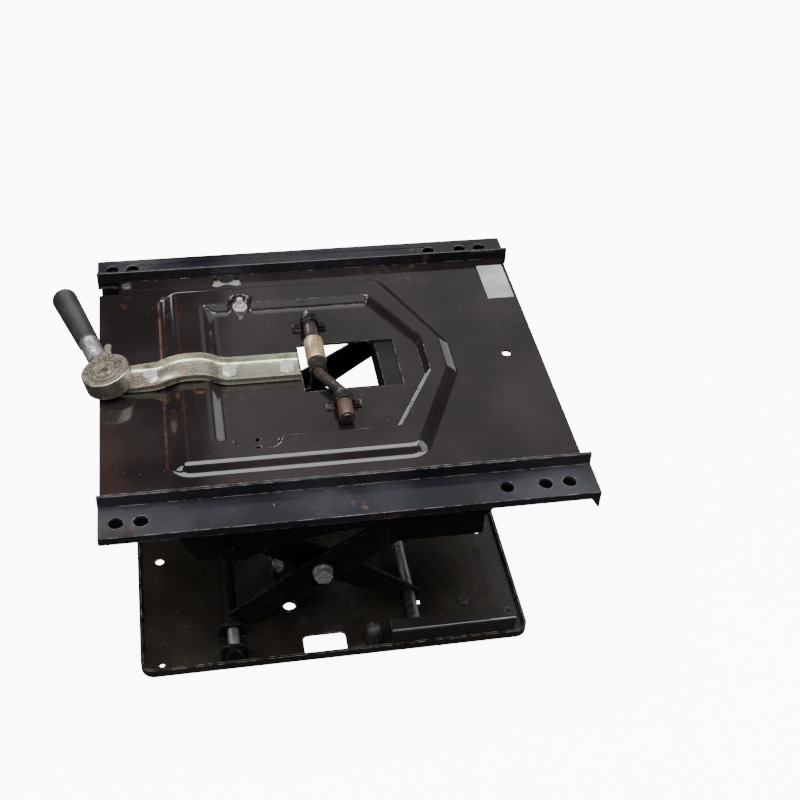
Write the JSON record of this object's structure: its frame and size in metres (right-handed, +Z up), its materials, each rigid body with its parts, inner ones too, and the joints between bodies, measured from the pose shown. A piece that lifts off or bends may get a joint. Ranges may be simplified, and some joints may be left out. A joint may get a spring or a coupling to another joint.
{
  "type": "seat suspension base",
  "caption": "Mechanical scissor suspension base for a machine seat: floor tray, roller scissor, pressed top pan with seat rails, and a ratchet weight adjuster with black grip.",
  "frame": {"origin": "centre of the floor tray's underside", "axes": "+Z up, +X towards the rear, away from the ratchet handle's end, +Y towards the side the handle points to"},
  "size_m": [0.484, 0.4072, 0.2433],
  "materials": {
    "pan_paint": "gloss",
    "frame_paint": "satin",
    "tray_paint": "satin",
    "zinc": "satin",
    "steel": "satin",
    "brass": "satin",
    "rubber": "matte",
    "grip": "matte",
    "roller": "matte",
    "label": "satin"
  },
  "bodies": {
    "base": {"base_tray": "tray_paint", "lower_guide_near": "tray_paint", "lower_guide_far": "tray_paint", "lower_bracket_near": "tray_paint", "lower_bracket_far": "tray_paint", "lower_pivot_axle": "steel", "lower_axle_nuts": "zinc", "track_buffers": "rubber", "floor_fasteners": "zinc"},
    "arm_a": {"arm_a_plate_near": "frame_paint", "arm_a_plate_far": "frame_paint", "arm_a_hub_tube": "frame_paint", "arm_a_web": "frame_paint", "upper_roller_axle": "steel", "centre_bolts": "zinc", "damper_pin_a": "zinc"},
    "arm_b": {"arm_b_plate_near": "frame_paint", "arm_b_plate_far": "frame_paint", "arm_b_hub_tube": "frame_paint", "arm_b_web": "frame_paint", "lower_roller_axle": "steel", "damper_pin_b": "zinc"},
    "upper_frame": {"top_pan": "pan_paint", "rail_near": "pan_paint", "rail_far": "pan_paint", "side_plate_near": "frame_paint", "side_plate_far": "frame_paint", "upper_guide_near": "frame_paint", "upper_guide_far": "frame_paint", "upper_pivot_axle": "steel", "upper_axle_nuts": "zinc", "cross_channel": "frame_paint", "strap_channel": "zinc", "strap_bolts": "zinc", "cross_rod": "steel", "brass_bush": "brass", "rod_sleeve": "steel", "rod_clips": "zinc", "pan_studs": "zinc", "label_plate": "label", "tension_spring_near": "steel", "tension_spring_far": "steel"},
    "upper_wheel_near": {"upper_roller_near": "roller"},
    "upper_wheel_far": {"upper_roller_far": "roller"},
    "lower_wheel_near": {"lower_roller_near": "roller"},
    "lower_wheel_far": {"lower_roller_far": "roller"},
    "ratchet": {"ratchet_head": "zinc", "handle_sleeve": "zinc", "detent_button": "zinc", "grip": "grip"},
    "pawl": {"pawl_selector": "zinc"},
    "screw": {"spindle": "steel", "ratchet_wheel": "steel"},
    "rocker": {"tension_rocker": "frame_paint", "rocker_bearing": "brass", "trunnion_nut": "steel", "spring_pin": "zinc"},
    "spring_hanger": {"spring_hooks": "steel"},
    "damper_tube": {"damper_cylinder": "frame_paint"},
    "damper_piston": {"damper_rod": "steel"}
  },
  "joints": [
    {"name": "arm_a_swing", "type": "hinge", "parent": "base", "child": "arm_a", "pos_m": [-0.101, 0, 0.013], "axis": [0, 1, 0], "range_deg": [0, 24], "stiffness_Nm_per_rad": 100, "springref_deg": -51.57},
    {"name": "arm_b_swing", "type": "hinge", "parent": "arm_a", "child": "arm_b", "pos_m": [-0.011, 0, 0.0755], "axis": [0, 1, 0], "range_deg": [-48, 0]},
    {"name": "frame_level", "type": "hinge", "parent": "arm_b", "child": "upper_frame", "pos_m": [-0.101, 0, 0.138], "axis": [0, 1, 0], "range_deg": [0, 24]},
    {"name": "upper_roll_near", "type": "hinge", "parent": "arm_a", "child": "upper_wheel_near", "pos_m": [0.079, -0.1485, 0.138], "axis": [0, 1, 0], "continuous": true},
    {"name": "upper_roll_far", "type": "hinge", "parent": "arm_a", "child": "upper_wheel_far", "pos_m": [0.079, 0.1485, 0.138], "axis": [0, 1, 0], "continuous": true},
    {"name": "lower_roll_near", "type": "hinge", "parent": "arm_b", "child": "lower_wheel_near", "pos_m": [0.079, -0.1765, 0.013], "axis": [0, 1, 0], "continuous": true},
    {"name": "lower_roll_far", "type": "hinge", "parent": "arm_b", "child": "lower_wheel_far", "pos_m": [0.079, 0.1765, 0.013], "axis": [0, 1, 0], "continuous": true},
    {"name": "handle_swing", "type": "hinge", "parent": "upper_frame", "child": "ratchet", "pos_m": [-0.196, -0.0095, 0.217], "axis": [-0.2079, 0, 0.9781], "range_deg": [-5, 70]},
    {"name": "pawl_flip", "type": "hinge", "parent": "ratchet", "child": "pawl", "pos_m": [-0.19258, 0.0098, 0.21773], "axis": [-0.2079, 0, 0.9781], "range_deg": [-15, 15]},
    {"name": "spindle_spin", "type": "hinge", "parent": "upper_frame", "child": "screw", "pos_m": [-0.196, -0.0095, 0.217], "axis": [-0.2079, 0, 0.9781], "range_deg": [-720, 720]},
    {"name": "rocker_tilt", "type": "hinge", "parent": "upper_frame", "child": "rocker", "pos_m": [0.0005, -0.0095, 0.2215], "axis": [0, 1, 0], "range_deg": [-1.8, 1.8]},
    {"name": "spring_stretch", "type": "slide", "parent": "upper_frame", "child": "spring_hanger", "axis": [1, 0, 0], "range_m": [0, 0.0356], "deforming": ["tension_spring_near", "tension_spring_far"]},
    {"name": "damper_tilt", "type": "hinge", "parent": "arm_a", "child": "damper_tube", "pos_m": [-0.07671, 0.106, 0.02987], "axis": [0, 1, 0], "range_deg": [-24, 0]},
    {"name": "damper_stroke", "type": "slide", "parent": "damper_tube", "child": "damper_piston", "axis": [1, 0, 0], "range_m": [0, 0.0281]}
  ],
  "couplings": [
    {"joint": "arm_b_swing", "follows": "arm_a_swing", "ratio": -2},
    {"joint": "frame_level", "follows": "arm_a_swing", "ratio": 1},
    {"joint": "spring_stretch", "follows": "arm_a_swing", "m_per_rad": 0.0843},
    {"joint": "damper_tilt", "follows": "arm_a_swing", "ratio": -1},
    {"joint": "damper_stroke", "follows": "arm_a_swing", "m_per_rad": 0.0667},
    {"joint": "rocker_tilt", "follows": "spindle_spin", "ratio": 0.00244}
  ]
}
